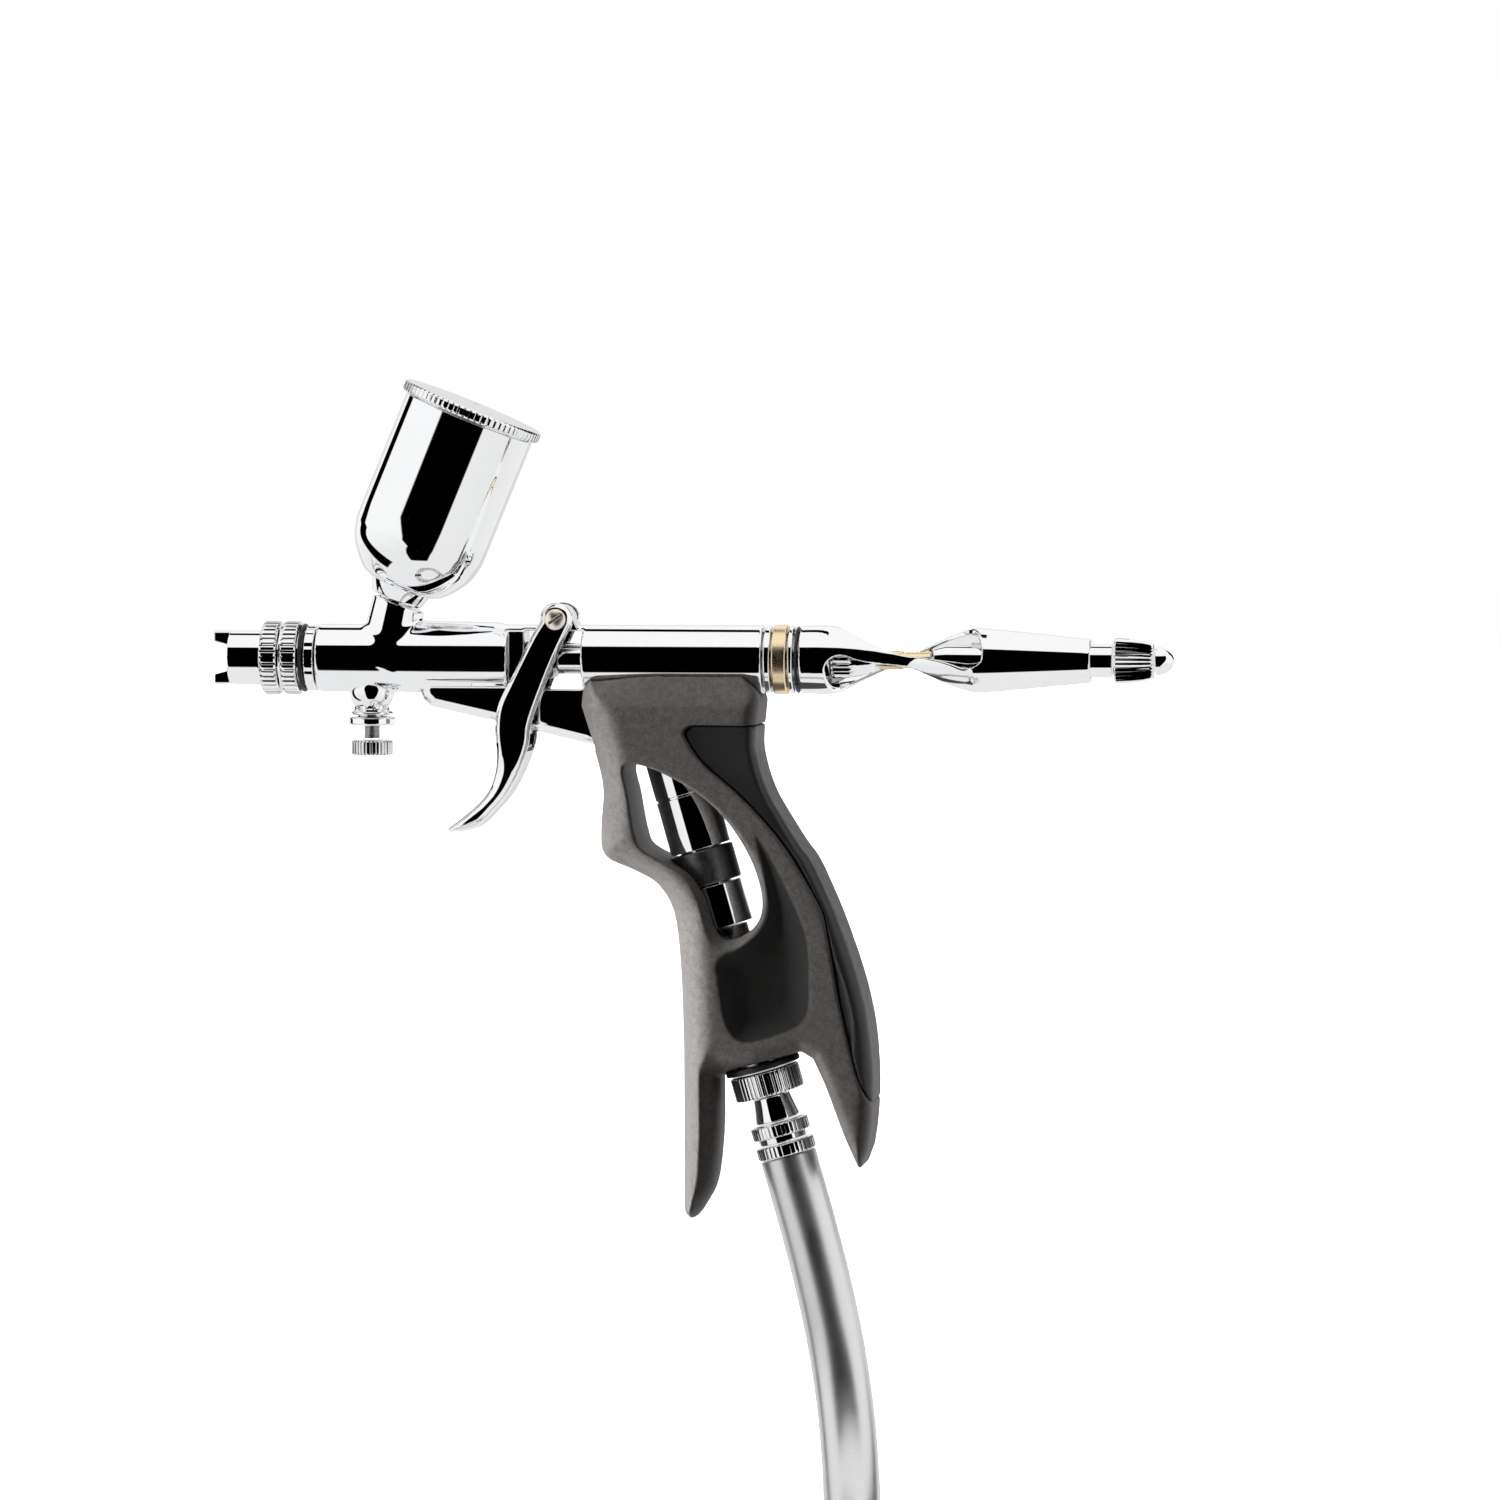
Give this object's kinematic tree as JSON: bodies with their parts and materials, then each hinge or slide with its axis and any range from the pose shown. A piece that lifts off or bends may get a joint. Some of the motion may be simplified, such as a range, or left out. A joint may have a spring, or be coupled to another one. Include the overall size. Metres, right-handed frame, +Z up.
{
  "type": "airbrush gun",
  "caption": "Trigger airbrush with a pistol grip, gravity-feed paint cup, knurled head, preset screw at the tail and an air hose with its coil.",
  "frame": {"origin": "centre of the grip's palm area, on the plane of symmetry", "axes": "+X along the barrel from the nozzle towards the tail, +Z up towards the cup"},
  "size_m": [0.1703, 0.1204, 0.2343],
  "materials": {
    "chrome": "polished",
    "gold": "polished, pale gold plated",
    "steel": "turned",
    "dark_metal": "black plated, polished",
    "grip_metal": "satin metallic gunmetal",
    "rubber": "matte soft touch",
    "seal": "matte",
    "hose": "smooth rubber tube"
  },
  "bodies": {
    "gun": {"crown_cap": "chrome", "nozzle_cap": "chrome", "head_adapter": "chrome", "barrel": "chrome", "paint_cup": "chrome", "air_screw_body": "chrome", "pivot_screw": "chrome", "rear_collar": "chrome", "rear_spacer": "chrome", "tail_sleeve": "chrome", "air_tube": "chrome", "lower_tube": "chrome", "inlet_nut": "chrome", "inlet_plug": "chrome", "coupler_body": "chrome", "hose_collar": "chrome", "hose_end_ferrule": "chrome", "gold_ring": "gold", "nozzle": "steel", "needle_spring": "steel", "valve_spring": "steel", "valve_plug": "steel", "spring_case": "steel", "tube_collar": "steel", "inlet_stem": "steel", "packing_screw": "dark_metal", "grip_frame": "grip_metal", "back_strap": "rubber", "inlet_boot": "rubber", "coil_tie": "rubber", "head_seal": "seal", "needle_packing": "seal", "sleeve_seal": "seal", "hose": "hose", "hose_coil": "hose"},
    "trigger": {"trigger": "chrome", "trigger_roller": "steel", "trigger_valve_pin": "steel"},
    "needle": {"needle": "steel", "needle_tube": "chrome", "needle_chuck_nut": "chrome", "needle_collet": "gold"},
    "valve_plunger": {"valve_plunger": "steel"},
    "lid": {"cup_lid": "chrome"},
    "air_screw_stem": {"air_screw_stem": "steel"},
    "air_screw_knob": {"air_screw_knob": "chrome"},
    "preset_spindle": {"preset_spindle": "chrome", "preset_stop": "chrome"},
    "preset_knob": {"preset_knob": "chrome", "preset_end_cap": "chrome"},
    "coupler_sleeve": {"coupler_sleeve": "chrome"},
    "hose_nut": {"hose_end_nut": "chrome"}
  },
  "joints": [
    {"name": "trigger_pull", "type": "hinge", "parent": "gun", "child": "trigger", "pos_m": [-0.0364, 0, 0.06006], "axis": [0, -1, 0], "range_deg": [0, 20], "stiffness_Nm_per_rad": 0.05, "springref_deg": -28.65},
    {"name": "needle_slide", "type": "slide", "parent": "gun", "child": "needle", "axis": [1, 0, 0], "range_m": [0, 0.00337], "deforming": ["needle_spring"]},
    {"name": "valve_slide", "type": "slide", "parent": "gun", "child": "valve_plunger", "axis": [1, 0, 0], "range_m": [0, 0.00582], "deforming": ["valve_spring"]},
    {"name": "lid_lift", "type": "slide", "parent": "gun", "child": "lid", "axis": [0.3827, 0, 0.9239], "range_m": [0, 0.012]},
    {"name": "air_screw_travel", "type": "slide", "parent": "gun", "child": "air_screw_stem", "axis": [0, 0, -1], "range_m": [-0.001, 0.001]},
    {"name": "air_screw_turn", "type": "hinge", "parent": "air_screw_stem", "child": "air_screw_knob", "pos_m": [-0.0701, 0, 0.0372], "axis": [0, 0, -1], "range_deg": [-724, 724]},
    {"name": "preset_travel", "type": "slide", "parent": "gun", "child": "preset_spindle", "axis": [-1, 0, 0], "range_m": [-0.001, 0.0035]},
    {"name": "preset_turn", "type": "hinge", "parent": "preset_spindle", "child": "preset_knob", "pos_m": [0.065, 0, 0.053], "axis": [-1, 0, 0], "range_deg": [-724, 2530]},
    {"name": "coupler_release", "type": "slide", "parent": "gun", "child": "coupler_sleeve", "axis": [-0.2756, 0, 0.9613], "range_m": [0, 0.002], "stiffness_N_per_m": 60, "springref_m": -0.002},
    {"name": "hose_nut_turn", "type": "hinge", "parent": "gun", "child": "hose_nut", "pos_m": [0.0285, -0.0934, -0.1247], "axis": [0, -1, 0], "continuous": true}
  ],
  "couplings": [
    {"joint": "needle_slide", "follows": "trigger_pull", "m_per_rad": 0.009597},
    {"joint": "valve_slide", "follows": "trigger_pull", "m_per_rad": 0.016616},
    {"joint": "air_screw_turn", "follows": "air_screw_travel", "rad_per_m": 12566},
    {"joint": "preset_turn", "follows": "preset_travel", "rad_per_m": 12566}
  ]
}
